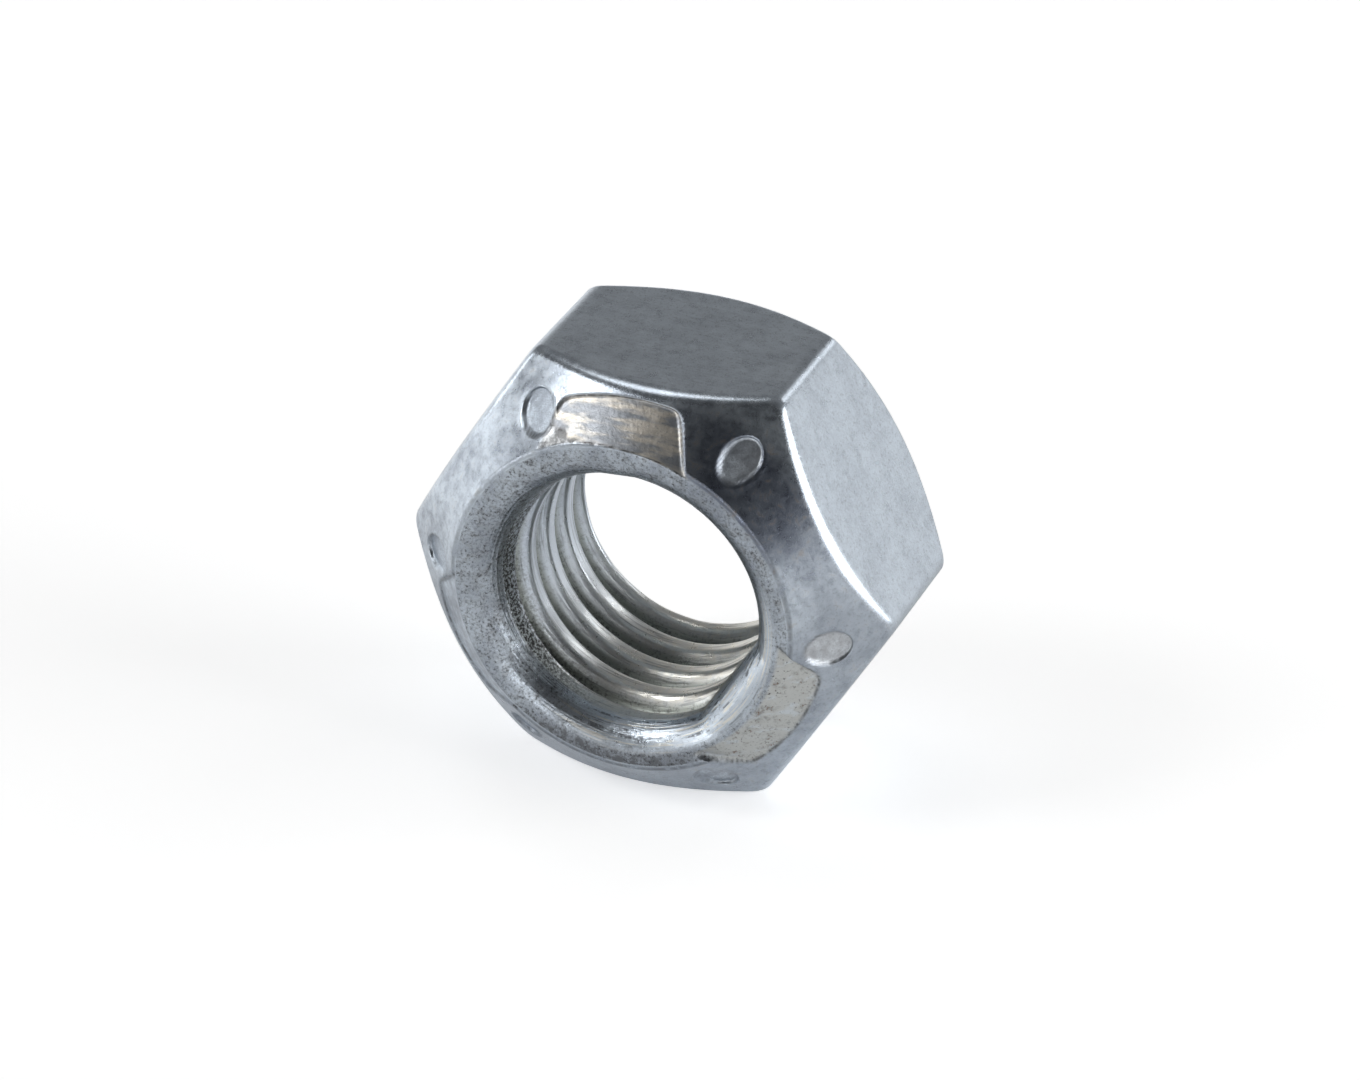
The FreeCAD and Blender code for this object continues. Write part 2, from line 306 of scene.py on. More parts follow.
@dataclass
class SectionPath:
    """Walks along the nut's section, one zone of rows after another."""

    row: Value
    radial: Number
    height: Number
    heading: float
    used: int = 0
    last: tuple[Number, Number] = field(init=False)

    def __post_init__(self) -> None:
        """Start at the first point."""
        self.last = (self.radial, self.height)

    def share(self, rows: int) -> Value:
        """Take the next zone of rows.

        Args:
            rows: Rows in the zone.

        Returns:
            How much of it is passed, from 0 to 1.
        """
        passed = ((self.row - float(self.used)) / float(rows)).held()
        self.used += rows
        return passed

    def line_to(self, radial: Number, height: Number, rows: int, eased: bool) -> None:
        """Straight run to a point.

        Args:
            radial: The end's distance from the thread axis.
            height: The end's height above the bearing face.
            rows: Rows that the run takes.
            eased: Whether rows gather near both ends.
        """
        passed = self.share(rows)
        if eased:
            passed = 0.5 - 0.5 * (passed * math.pi).cos()
        self.radial = self.radial + (radial - self.last[0]) * passed
        self.height = self.height + (height - self.last[1]) * passed
        self.last = (radial, height)

    def arc(self, turn: float, radius: float, rows: int) -> Value:
        """Arc to the left from the last point.

        Args:
            turn: Its angle in radians.
            radius: Its radius.
            rows: Rows that it takes.

        Returns:
            How much of the arc is passed.
        """
        passed = self.share(rows)
        begin = self.heading - math.pi / 2
        angle = begin + passed * turn
        self.radial = self.radial + radius * (angle.cos() - math.cos(begin))
        self.height = self.height + radius * (angle.sin() - math.sin(begin))
        end = begin + turn
        self.last = (self.last[0] + radius * (math.cos(end) - math.cos(begin)),
                     self.last[1] + radius * (math.sin(end) - math.sin(begin)))
        self.heading += turn
        return passed

    def round_corner(self, corner: Corner) -> Value:
        """Run to a corner and turn round it.

        Args:
            corner: Where it is, its rounding and the heading after it.

        Returns:
            How much of the corner's arc is passed.
        """
        turn = math.radians(corner.heading) - self.heading
        tangent = corner.rounding * math.tan(turn / 2)
        self.line_to(corner.radial - tangent * math.cos(self.heading),
                     corner.height - tangent * math.sin(self.heading),
                     corner.line_rows, corner.eased)
        return self.arc(turn, corner.rounding, corner.arc_rows)


class Place(Enum):
    """The places on the nut that its finish tells apart, each stored on the mesh from 0 to 1."""

    PAD = "pad"
    PAD_EDGE = "pad_edge"
    WARM_PAD = "warm_pad"
    ROUGH_PAD = "rough_pad"
    PIN_MARK = "pin_mark"
    MARK_EDGE = "mark_edge"
    CROWN = "crown"
    LAND = "land"
    LAND_EDGE = "land_edge"
    MOUTH = "mouth"
    BORE = "bore"
    THREAD_START = "thread_start"
    GROOVE = "groove"
    ROLLED = "rolled"


@dataclass(frozen=True)
class PressedPad:
    """One pad that the press has struck into the crown."""

    bearing: float
    reach: float
    half_width: float
    flare: float
    depth: float
    tilt: float
    lean: float
    squeeze: float
    rounding: float

    def share(self, across: Value, up: Value) -> tuple[Value, Value]:
        """How far a point is inside the pad's outline.

        Args:
            across: The point's place to the right of the thread axis.
            up: The point's place above the thread axis.

        Returns:
            0 outside and 1 inside, and how far the floor lies below the crown there.
        """
        bearing = math.radians(self.bearing)
        outwards = across * math.cos(bearing) + up * math.sin(bearing)
        sideways = up * math.cos(bearing) - across * math.sin(bearing)
        radial = (across * across + up * up).root()
        beyond = radial - self.reach
        width = self.half_width + (self.reach - outwards) * self.flare
        beside = (abs(sideways) - width) * math.cos(math.atan(self.flare))
        edge = beyond.soft_most(beside, 0.5)
        behind = outwards.step(2.0, 3.0)
        sink = self.depth + (self.reach - radial) * self.tilt + sideways * self.lean
        return edge.step(0.09, -0.14) * behind, sink

    def bar_distance(self, angle: Value) -> Value:
        """Distance from the thread axis to the straight bar behind the pad, along a bearing."""
        apart = (angle - math.radians(self.bearing)).cos()
        return self.squeeze / apart.most(0.2)

    def near_bar(self, angle: Value) -> Value:
        """1 on the bar's own side of the mouth and 0 on the far side."""
        return (angle - math.radians(self.bearing)).cos().step(0.60, 0.80)


@dataclass(frozen=True)
class PinMark:
    """One round pin mark in the crown."""

    bearing: float
    radial: float
    radius: float
    depth: float

    def share(self, across: Value, up: Value) -> tuple[Value, Value]:
        """How far a point is in the mark and on its raised rim.

        Args:
            across: The point's place to the right of the thread axis.
            up: The point's place above the thread axis.

        Returns:
            The share inside the mark and the share on the rim round it.
        """
        bearing = math.radians(self.bearing)
        beside = across - self.radial * math.cos(bearing)
        above = up - self.radial * math.sin(bearing)
        away = (beside * beside + above * above).root()
        inside = away.step(self.radius + 0.03, self.radius - 0.12)
        return inside, away.step(self.radius + 0.30, self.radius)


@dataclass
class Surface:
    """The nut's surface while its tree is filled: where a grid point goes and what it belongs to."""

    maker: NodeMaker
    given: dict[str, Value]
    angle: Value
    path: SectionPath
    radial: Number = 0.0
    height: Number = 0.0
    places: dict[Place, Number] = field(default_factory=dict)


@dataclass
class NutBody:
    """The nut's whole surface, from the bearing face over the crown and down through the thread."""

    across_flats: float = 18.9
    height: float = 11.1
    corner_radius: float = 0.75
    crown_rise: float = 1.9
    crown_rounding: float = 1.1
    land_rounding: float = 0.35
    mouth_radius: float = 6.0
    mouth_rounding: float = 1.5
    mouth_slope: float = 13.0
    closed_depth: float = 1.3
    bearing_radius: float = 9.1
    bearing_edge: float = 0.12
    bearing_rounding: float = 0.35
    countersink_radius: float = 7.45
    bore_radius: float = 5.4
    thread_radius: float = 6.2
    flank_angle: float = 30.0
    pitch: float = 1.9538
    phase: float = 1.73
    thread_rounding: float = 0.35
    bar_drop: float = 0.1
    bar_band: float = 0.2
    mark_rim: float = 0.035
    unevenness: float = 0.08
    pressing_roughness: float = 0.012
    columns: int = 432
    rows_per_pitch: int = 16
    spare_turns: float = 1.2
    pads: tuple[PressedPad, ...] = (
        PressedPad(bearing=95.3, reach=9.03, half_width=2.45, flare=0.36, depth=0.28, tilt=-0.12,
                   lean=-0.05, squeeze=5.80, rounding=1.0),
        PressedPad(bearing=-30.2, reach=8.70, half_width=2.75, flare=0.30, depth=0.13, tilt=0.29,
                   lean=0.0, squeeze=5.25, rounding=1.3),
        PressedPad(bearing=-153.0, reach=8.9, half_width=2.45, flare=0.36, depth=0.16, tilt=0.0,
                   lean=0.0, squeeze=5.80, rounding=1.0),
    )
    marks: tuple[PinMark, ...] = tuple(
        PinMark(bearing, radial=8.75, radius=0.8, depth=0.15)
        for bearing in (119.5, 58.5, -2.0, -62.0, -121.5, 181.5)
    )

    def flat_radius(self, maker: NodeMaker, angle: Value) -> Value:
        """Distance from the axis to the rounded hexagon.

        Args:
            maker: The tree's maker.
            angle: Angle round the thread axis, in radians.

        Returns:
            The distance in millimetres.
        """
        half = self.across_flats / 2
        third = math.pi / 3
        from_flat = abs(angle % third - third / 2)
        from_corner = third / 2 - from_flat
        centre = (half - self.corner_radius) / math.cos(third / 2)
        beside = from_corner.sin() * centre
        arc = from_corner.cos() * centre + (self.corner_radius**2 - beside * beside).root()
        tangent = math.atan((half - self.corner_radius) * math.tan(third / 2) / half)
        in_corner = maker.math("GREATER_THAN", from_flat, tangent)
        return in_corner.blend(half / from_flat.cos(), arc)

    def corners(self, top: Value, flats: Value) -> tuple[Corner, ...]:
        """The section's corners, from the bearing face over the crown to the bell mouth.

        Args:
            top: The nut's height.
            flats: Distance from the axis to the hexagon.

        Returns:
            Bearing edge, bearing rim, crown edge, land edge and mouth.
        """
        half = self.across_flats / 2
        crown_edge = top - self.crown_rise - (flats - half)
        return (
            Corner(self.bearing_radius, 0.0, self.bearing_edge, heading=45.0, line_rows=3, arc_rows=2),
            Corner(flats, flats - self.bearing_radius, self.bearing_rounding,
                   heading=90.0, line_rows=5, arc_rows=5, eased=False),
            Corner(flats, crown_edge, self.crown_rounding, heading=135.0, line_rows=13, arc_rows=9),
            Corner(half - self.crown_rise, top, self.land_rounding,
                   heading=180.0, line_rows=46, arc_rows=6, eased=False),
            Corner(self.mouth_radius, top, self.mouth_rounding,
                   heading=270.0 - self.mouth_slope, line_rows=4, arc_rows=14, eased=False),
        )

    def build(self) -> bpy.types.Object:
        """Grow the mesh from its geometry tree.

        Returns:
            The finished object, its mesh plain.
        """
        tree = bpy.data.node_groups.new("nut_surface", "GeometryNodeTree")
        inputs = {
            "Height": self.height,
            "Bore radius": self.bore_radius,
            "Thread radius": self.thread_radius,
            "Pitch": self.pitch,
            "Thread phase": self.phase,
            "Pressing roughness": self.pressing_roughness,
        }
        identifiers = {}
        for name, value in inputs.items():
            socket = tree.interface.new_socket(name=name, in_out="INPUT", socket_type="NodeSocketFloat")
            identifiers[socket.identifier] = value
        tree.interface.new_socket(name="Geometry", in_out="OUTPUT", socket_type="NodeSocketGeometry")
        self.fill(NodeMaker(tree))

        seed = bpy.data.objects.new("nut_seed", bpy.data.meshes.new("nut_seed"))
        bpy.context.scene.collection.objects.link(seed)
        modifier = seed.modifiers.new("nut_surface", "NODES")
        modifier.node_group = tree
        for identifier, value in identifiers.items():
            modifier[identifier] = value
        evaluated = seed.evaluated_get(bpy.context.evaluated_depsgraph_get())
        finished = bpy.data.meshes.new_from_object(evaluated)
        bpy.data.objects.remove(seed)
        nut = bpy.data.objects.new("lock_nut_body", finished)
        bpy.context.scene.collection.objects.link(nut)
        return nut

    def fill(self, maker: NodeMaker) -> None:
        """Add every node of the geometry tree.

        Args:
            maker: The tree's maker.
        """
        group = maker.add("NodeGroupInput")
        given = {socket.name: Value(maker, socket) for socket in group.outputs if socket.name}
        column, row, _ = maker.parts(maker.add("GeometryNodeInputPosition").outputs[0])
        angle = (column + 0.5) * math.tau
        corners = self.corners(given["Height"], self.flat_radius(maker, angle))
        thread_rows = math.ceil((self.height / self.pitch + self.spare_turns) * self.rows_per_pitch)
        rows = sum(corner.line_rows + corner.arc_rows for corner in corners) + thread_rows
        grid = maker.add("GeometryNodeMeshGrid", {}, {
            "Size X": 1.0, "Size Y": 1.0, "Vertices X": self.columns + 1, "Vertices Y": rows + 1})

        path = SectionPath((row + 0.5) * float(rows), self.countersink_radius, 0.0, 0.0)
        surface = Surface(maker, given, angle, path)
        self.turn_section(surface, corners)
        self.cut_thread(surface)
        self.press_crown(surface)
        self.shape_grid(surface, grid.outputs["Mesh"])

    def turn_section(self, surface: Surface, corners: tuple[Corner, ...]) -> None:
        """Walk from the bearing face to the bell mouth, and stand the squeezed bars out of the bell.

        Args:
            surface: The surface so far; its radial, height and places are set.
            corners: The section's corners.
        """
        maker, path, angle = surface.maker, surface.path, surface.angle
        _, _, rolled, land_edge, bell = [path.round_corner(corner) for corner in corners]
        mouth_rows = corners[-1].line_rows + corners[-1].arc_rows

        # the bars stand out from the bell mouth's own centre
        turn = math.radians(90.0 - self.mouth_slope)
        bell_radial = self.mouth_radius + self.mouth_rounding * math.tan(turn / 2)
        swing = math.pi / 2 + bell * turn
        facing_in, facing_up = swing.cos(), swing.sin()
        bar_reach: Number = self.mouth_rounding
        for pad in self.pads:
            nose_in = pad.bar_distance(angle) + (pad.rounding - bell_radial)
            nose_up = self.mouth_rounding - self.bar_drop - pad.rounding
            along = facing_in * nose_in + facing_up * nose_up
            inside = along * along + pad.rounding**2 - nose_in * nose_in - nose_up**2
            to_nose = along + inside.root()
            to_top = (self.mouth_rounding - self.bar_drop) / facing_up.most(0.05)
            stand = to_nose.least(to_top) - self.mouth_rounding
            bar_reach = bar_reach + stand.most(0.0) * pad.near_bar(angle)
        on_bell = maker.math("GREATER_THAN", bell, 0.0)
        extra = (bar_reach - self.mouth_rounding) * on_bell
        surface.radial = path.radial + facing_in * extra
        surface.height = path.height + facing_up * extra

        in_bore = maker.math("GREATER_THAN", path.row, float(path.used) - 0.5)
        outside = in_bore.blend(1.0, 0.0)
        on_land = maker.math("GREATER_THAN", path.row, float(path.used - mouth_rows))
        surface.places[Place.BORE] = in_bore
        surface.places[Place.CROWN] = rolled * outside
        surface.places[Place.ROLLED] = (rolled * (1.0 - rolled) * 4.0).held()
        surface.places[Place.LAND] = on_land * outside
        surface.places[Place.LAND_EDGE] = land_edge * (1.0 - land_edge) * 4.0 * outside
        surface.places[Place.MOUTH] = bell * outside

    def cut_thread(self, surface: Surface) -> None:
        """Lead the rows down the bore along the helix, from the mouth to the countersink.

        Args:
            surface: The surface so far; its radial, height and places are changed in the bore.
        """
        path, angle, given = surface.path, surface.angle, surface.given
        top, pitch, phase = given["Height"], given["Pitch"], given["Thread phase"]
        throat_radial, throat = path.last
        spacing = pitch / float(self.rows_per_pitch)
        lead = angle / math.tau
        turns_up = (self.height - self.phase) / self.pitch
        first = math.ceil(turns_up * self.rows_per_pitch) / self.rows_per_pitch
        level = phase + pitch * (lead + first) - (path.row - float(path.used)) * spacing
        level = level.held(0.0, throat)

        from_groove = abs(((level - phase) / pitch - lead + 0.5) % 1.0 - 0.5) * pitch
        root_half = self.pitch / 16
        flank = given["Thread radius"] - (from_groove - root_half) / math.tan(math.radians(self.flank_angle))
        groove = flank.soft_least(given["Thread radius"], self.thread_rounding)
        closing = level.step(top - self.closed_depth - 0.15, top - self.closed_depth + 0.25)
        groove = closing.blend(groove, given["Bore radius"] - 0.3)
        bore = groove.soft_most(given["Bore radius"], self.thread_rounding)
        bore = bore.most(throat_radial - (throat - level) * math.tan(math.radians(self.mouth_slope)))
        for pad in self.pads:
            band_foot = top - self.bar_drop - pad.rounding - self.bar_band
            below = (band_foot - level).held(0.0, pad.rounding)
            swell = pad.rounding - (pad.rounding**2 - below * below).root()
            bore = pad.near_bar(angle).blend(bore, bore.least(pad.bar_distance(angle) + swell))
        bore = bore.soft_most(self.countersink_radius - level, 0.05)

        in_bore = surface.places[Place.BORE]
        surface.radial = in_bore.blend(surface.radial, bore)
        surface.height = in_bore.blend(surface.height, level)
        surface.places[Place.THREAD_START] = level.step(top - 3.4, top - 1.6) * in_bore
        surface.places[Place.GROOVE] = (bore - given["Bore radius"]).step(0.12, 0.72, False) * in_bore

    def press_crown(self, surface: Surface) -> None:
        """Sink the pads and pin marks into the crown, with the slight unevenness of struck metal.

        Args:
            surface: The surface so far; its height and places are changed on the crown.
        """
        top, places = surface.given["Height"], surface.places
        across, up = surface.radial * surface.angle.cos(), surface.radial * surface.angle.sin()
        plan = surface.maker.vector(across, up, surface.height)
        uneven = surface.maker.noise(plan, 1.6, 3.0, 0.6) - 0.5
        outside = places[Place.BORE].blend(1.0, 0.0)
        crown_level = top + (self.across_flats / 2 - self.crown_rise) - surface.radial

        on_pads = []
        height, edges = surface.height, 0.0
        for pad in self.pads:
            inside, sink = pad.share(across, up)
            floor = crown_level - (sink + uneven * self.unevenness).most(0.03)
            sunk = (height - floor).most(0.0)
            inside = inside * outside
            height = height - sunk * inside
            inside = inside * sunk.step(0.01, 0.06)
            edges = (inside * (1.0 - inside) * 4.0).most(edges)
            on_pads.append(inside)
        warm, rough, hidden = on_pads
        places[Place.PAD] = warm.most(rough).most(hidden)
        places[Place.PAD_EDGE] = edges
        places[Place.WARM_PAD] = warm
        places[Place.ROUGH_PAD] = rough

        on_marks: Number = 0.0
        edges = 0.0
        for mark in self.marks:
            inside, rim = mark.share(across, up)
            inside = inside * places[Place.CROWN]
            rim = rim * (1.0 - inside) * places[Place.CROWN]
            depth = mark.depth * math.sqrt(2.0) + uneven * self.unevenness
            height = height - inside * depth + rim * self.mark_rim
            on_marks = inside.most(on_marks)
            edges = (inside * (1.0 - inside) * 4.0).most(edges)
        places[Place.PIN_MARK] = on_marks
        places[Place.MARK_EDGE] = edges

        roughness = uneven * surface.given["Pressing roughness"] * places[Place.CROWN] * 2.0
        surface.height = (height + roughness).least(top)

    def shape_grid(self, surface: Surface, grid: bpy.types.NodeSocket) -> None:
        """Store the places on the flat grid, then move its points on to the nut and close it.

        Args:
            surface: The finished surface.
            grid: The flat grid's socket.
        """
        maker, angle = surface.maker, surface.angle
        # every place is stored while the grid is still flat, because its fields read the grid's own points
        geometry = grid
        for place in Place:
            stored = maker.add("GeometryNodeStoreNamedAttribute",
                               {"data_type": "FLOAT", "domain": "POINT"},
                               {"Geometry": geometry, "Name": place.value, "Value": surface.places[place]})
            geometry = stored.outputs[0]
        spot = maker.vector(surface.radial * angle.cos() * MM,
                            (surface.given["Height"] / 2.0 - surface.height) * MM,
                            (surface.radial * angle.sin() + self.across_flats / 2) * MM)
        moved = maker.add("GeometryNodeSetPosition", {}, {"Geometry": geometry, "Position": spot})
        merged = maker.add("GeometryNodeMergeByDistance", {},
                           {"Geometry": moved.outputs[0], "Distance": 0.0001 * MM})
        flipped = maker.add("GeometryNodeFlipFaces", {}, {0: merged.outputs[0]})
        smooth = maker.add("GeometryNodeSetShadeSmooth", {}, {"Geometry": flipped.outputs[0]})
        real = maker.add("GeometryNodeRealizeInstances", {}, {0: smooth.outputs[0]})
        dressed = maker.add("GeometryNodeSetMaterial", {}, {
            "Geometry": real.outputs[0], "Material": bpy.data.materials["zinc_plate"]})
        maker.add("NodeGroupOutput", {}, {"Geometry": dressed.outputs[0]})


@dataclass(frozen=True)
class Grain:
    """Where a shaded point lies, in millimetres from the thread axis, and the patterns that meet there."""

    maker: NodeMaker
    across: Value
    along: Value
    height: Value
    cloud: Value
    mottle: Value
    speckle: Value
    grit: Value
    drawn: Value
    rings: Value
    streaks: Value
    on: dict[Place, Value]

    @classmethod
    def read(cls, maker: NodeMaker, axis_height: float) -> "Grain":
        """Add the nodes that all parts of the finish share.

        Args:
            maker: The material tree's maker.
            axis_height: How high the thread axis lies above the floor, in millimetres.

        Returns:
            The point's place, its patterns and the places stored on the mesh.
        """
        coordinates = maker.add("ShaderNodeTexCoord").outputs["Object"]
        across, along, up = (part / MM for part in maker.parts(coordinates))
        height = up - axis_height
        radial = (across * across + height * height).root()
        place = maker.vector(across, along, up)
        marks = {mark: maker.add("ShaderNodeAttribute", {"attribute_name": mark.value}) for mark in Place}
        on = {mark: maker.value(node.outputs["Fac"]) for mark, node in marks.items()}
        return cls(
            maker, across, along, height,
            cloud=maker.noise(place, 0.55, 4.0, 0.6),
            mottle=maker.noise(place, 2.2, 5.0, 0.65, 0.4),
            speckle=maker.noise(place, 8.0, 3.0, 0.7),
            grit=maker.noise(place, 20.0, 2.0, 0.6),
            drawn=maker.noise(maker.vector(across * 0.25, along * 5.0, up * 5.0), 1.3, 4.0, 0.6),
            rings=maker.noise(maker.vector(radial * 5.0, along * 5.0, across * 0.35), 1.4, 3.0, 0.6),
            streaks=maker.noise(maker.vector(across * 0.35, along * 1.6, up * 1.6), 1.1, 3.0, 0.55),
            on=on)


@dataclass(frozen=True)
class ZincPlate:
    """Blue-white zinc plate over steel, with the marks of pressing and handling, and with painted shade and
    painted highlights laid into its colour.
    """

    # bright plate, also laid as the painted highlight on the mouth's ridge
    bright: tuple[float, float, float] = (0.73, 0.81, 0.89)
    # dull plate, also laid as painted shade on the lower crown
    dull: tuple[float, float, float] = (0.35, 0.39, 0.45)
    # dark film, also laid as painted shade at the land's foot
    dark_film_and_shade: tuple[float, float, float] = (0.16, 0.17, 0.185)
    # dark blue of the painted shade patch beside the first pad
    painted_shade: tuple[float, float, float] = (0.085, 0.10, 0.15)
    pad_metal: tuple[float, float, float] = (0.90, 0.845, 0.755)
    rough_metal: tuple[float, float, float] = (0.58, 0.595, 0.585)
    # grime, also laid as painted shade along the edges of pads, marks and land
    grime_and_shade: tuple[float, float, float] = (0.035, 0.032, 0.030)
    # greenish groove film, also the painted shade deep in the grooves
    groove_film_and_shade: tuple[float, float, float] = (0.33, 0.35, 0.29)
    # cream of the crests, also the painted highlight streaks on the mouth's ridge
    cream_crest: tuple[float, float, float] = (0.86, 0.83, 0.74)
    blue_crest: tuple[float, float, float] = (0.70, 0.77, 0.86)
    warm: tuple[float, float, float] = (0.34, 0.28, 0.22)
    rust: tuple[float, float, float] = (0.30, 0.15, 0.07)
    axis_height: float = NutBody.across_flats / 2
    top_face: float = 5.6
    painted_shade_across: float = 5.2
    painted_shade_height: float = 6.55
    bump_strength: float = 0.45
    bump_depth: float = 0.04

    def build(self) -> bpy.types.Material:
        """Make the material.

        Returns:
            The finished material.
        """
        material = bpy.data.materials.new("zinc_plate")
        material.use_nodes = True
        maker = NodeMaker(material.node_tree)
        grain = Grain.read(maker, self.axis_height)
        colour = self.plate(grain)
        colour = self.shade_crown(grain, colour)
        colour = self.shade_pads(grain, colour)
        colour = self.stain_mouth_and_paint_light(grain, colour)
        colour = self.film_thread_and_paint_light(grain, colour)
        bump = maker.add("ShaderNodeBump", {}, {
            "Strength": self.bump_strength, "Distance": self.bump_depth * MM, "Height": self.relief(grain)})
        shader = maker.add("ShaderNodeBsdfPrincipled", {}, {
            "Base Color": colour, "Metallic": 1.0, "Roughness": self.roughness(grain),
            "Normal": bump.outputs[0]})
        maker.add("ShaderNodeOutputMaterial", {}, {"Surface": shader.outputs[0]})
        return material

    def plate(self, grain: Grain) -> Tint:
        """Clouded plate, with fine drawn lines on the flats.

        Args:
            grain: The shaded point.

        Returns:
            The plate's own colour.
        """
        on_flats = 1.0 - grain.on[Place.CROWN]
        clouded = grain.mottle.step(0.30, 0.70) * 0.5 + grain.cloud.step(0.35, 0.65) * 0.5
        even = 0.55 + (clouded - 0.5) * 0.35 + (grain.grit - 0.5) * 0.9
        colour = grain.maker.mix_colours(self.dull, self.bright, on_flats.blend(clouded, even).held())
        return colour.over(self.bright, grain.drawn.step(0.40, 0.75) * 0.35 * on_flats)

    def shade_crown(self, grain: Grain, colour: Tint) -> Tint:
        """Painted shade on the crown, as a dark patch beside the first pad and darker below the axis and
        towards the lower right, with brownish stains strongest beside the first pad.

        Args:
            grain: The shaded point.
            colour: The colour so far.

        Returns:
            The colour with the patches.
        """
        on = grain.on
        struck = on[Place.PAD].most(on[Place.PIN_MARK])
        open_crown = on[Place.CROWN] * (1.0 - struck) * (1.0 - on[Place.BORE])
        aside, above = grain.across - self.painted_shade_across, grain.height - self.painted_shade_height
        away = (aside * aside + above * above).root()
        near_top = (grain.along + self.top_face).step(2.6, 1.6)
        near_pad = away.step(5.2, 1.5) * open_crown * (1.0 - on[Place.LAND] * 0.75) * near_top
        # painted shade: a dark patch on the open crown beside the first pad, near the top face
        colour = colour.over(self.painted_shade, near_pad * 0.72)
        # painted shade: the open crown darker below the axis and towards the lower right
        painted_low_shade = (-grain.height).step(-1.0, 4.0).most((grain.across - grain.height).step(4.0, 9.0))
        colour = colour.over(self.dull, painted_low_shade * 0.55 * open_crown * (1.0 - on[Place.LAND]))
        return colour.over(self.warm, grain.mottle.step(0.54, 0.74) * (0.30 + near_pad * 0.35) * open_crown)

    def shade_pads(self, grain: Grain, colour: Tint) -> Tint:
        """Bare streaked metal in the pads, grit in the pin marks with those on the right lighter, and grime
        with painted shade along their edges and the land's edge.

        Args:
            grain: The shaded point.
            colour: The colour so far.

        Returns:
            The colour with pads and marks.
        """
        on, mottle, speckle = grain.on, grain.mottle, grain.speckle
        warm_pad, rough_pad = on[Place.WARM_PAD], on[Place.ROUGH_PAD]
        colour = colour.over(self.pad_metal, warm_pad)
        colour = colour.over(self.dull, grain.streaks.step(0.42, 0.62) * 0.85 * warm_pad)
        colour = colour.over(self.rough_metal, rough_pad)
        colour = colour.over(self.dark_film_and_shade, mottle.step(0.50, 0.68) * 0.45 * rough_pad)
        colour = colour.over(self.bright, grain.streaks.step(0.52, 0.66) * 0.40 * rough_pad)
        colour = colour.over(self.grime_and_shade, speckle.step(0.60, 0.68) * 0.45 * rough_pad)
        colour = colour.over(self.rust, (mottle * speckle).step(0.31, 0.40) * 0.6 * rough_pad)
        # grime and painted shade, broken up by mottle, along the edges of the pads, pin marks and land
        edge_smudge_and_shade = on[Place.PAD_EDGE] * 0.8 + on[Place.MARK_EDGE] * 0.6
        edge_smudge_and_shade = edge_smudge_and_shade + on[Place.LAND_EDGE] * 0.5 * (1.0 - on[Place.PAD])
        colour = colour.over(self.grime_and_shade, edge_smudge_and_shade.held() * mottle.step(0.32, 0.58))
        colour = colour.over(self.dull, grain.grit.step(0.40, 0.65) * 0.7 * on[Place.PIN_MARK])
        return colour.over(self.pad_metal, on[Place.PIN_MARK] * grain.across.step(2.0, 8.0) * 0.22)

    def painted_ridge_highlight(self, grain: Grain) -> Value:
        """Where a highlight is painted on the ridge of the bell mouth at its lower right."""
        lower_right = (grain.across * 0.66 - grain.height * 0.75).step(1.5, 4.2)
        return grain.on[Place.MOUTH].step(0.12, 0.42) * lower_right

    def stain_mouth_and_paint_light(self, grain: Grain, colour: Tint) -> Tint:
        """Stains and specks on the land and down the mouth, painted shade at the land's foot, and a painted
        highlight on the mouth's ridge.

        Args:
            grain: The shaded point.
            colour: The colour so far.

        Returns:
            The colour with the stains.
        """
        on, mottle, speckle = grain.on, grain.mottle, grain.speckle
        painted_ridge_highlight = self.painted_ridge_highlight(grain)
        on_land = on[Place.LAND].most(on[Place.MOUTH])
        stain = mottle.step(0.40, 0.64) * 0.50 + speckle.step(0.45, 0.60) * 0.38
        # painted shade: the land darker towards its bottom; the mouth is darker throughout
        foot = (-grain.height).step(5.0, 7.0) * 0.55 * (on[Place.LAND] - on[Place.MOUTH])
        stain_and_shade = (stain + on[Place.MOUTH] * 0.25 + foot).held() * on_land
        # the stains are thinner on the pads and under the painted ridge highlight
        colour = colour.over(self.dark_film_and_shade, stain_and_shade * (1.0 - painted_ridge_highlight.most(on[Place.PAD]) * 0.85))
        colour = colour.over(self.grime_and_shade, speckle.step(0.60, 0.68) * 0.75 * on_land)
        # painted highlight along the mouth's ridge, crossed by dark scored lines
        colour = colour.over(self.bright, painted_ridge_highlight * 0.6)
        scored = grain.rings.step(0.52, 0.62) * mottle.step(0.42, 0.54)
        colour = colour.over(self.dark_film_and_shade, painted_ridge_highlight * scored * 0.85)
        return colour.over(self.dark_film_and_shade, speckle.step(0.54, 0.66) * 0.30 * (1.0 - on_land))

    def film_thread_and_paint_light(self, grain: Grain, colour: Tint) -> Tint:
        """Pale crests, bluish on the left and cream low on the right, a greenish film with painted shade
        deeper in the grooves, and painted highlight streaks on the mouth's ridge.

        Args:
            grain: The shaded point.
            colour: The colour so far.

        Returns:
            The finished colour.
        """
        on, mottle, rings, speckle = grain.on, grain.mottle, grain.rings, grain.speckle
        bore, groove = on[Place.BORE], on[Place.GROOVE]
        towards_cream = (grain.across - grain.height * 0.6).step(-6.33, 5.67)
        film = grain.maker.mix_colours(self.blue_crest, self.cream_crest, towards_cream)
        colour = colour.over(film, bore * (1.0 - groove) * (0.70 + mottle.step(0.60, 0.40) * 0.25))
        # painted highlight: cream streaks on the mouth's ridge
        colour = colour.over(self.cream_crest, rings.step(0.46, 0.36) * 0.75 * self.painted_ridge_highlight(grain))
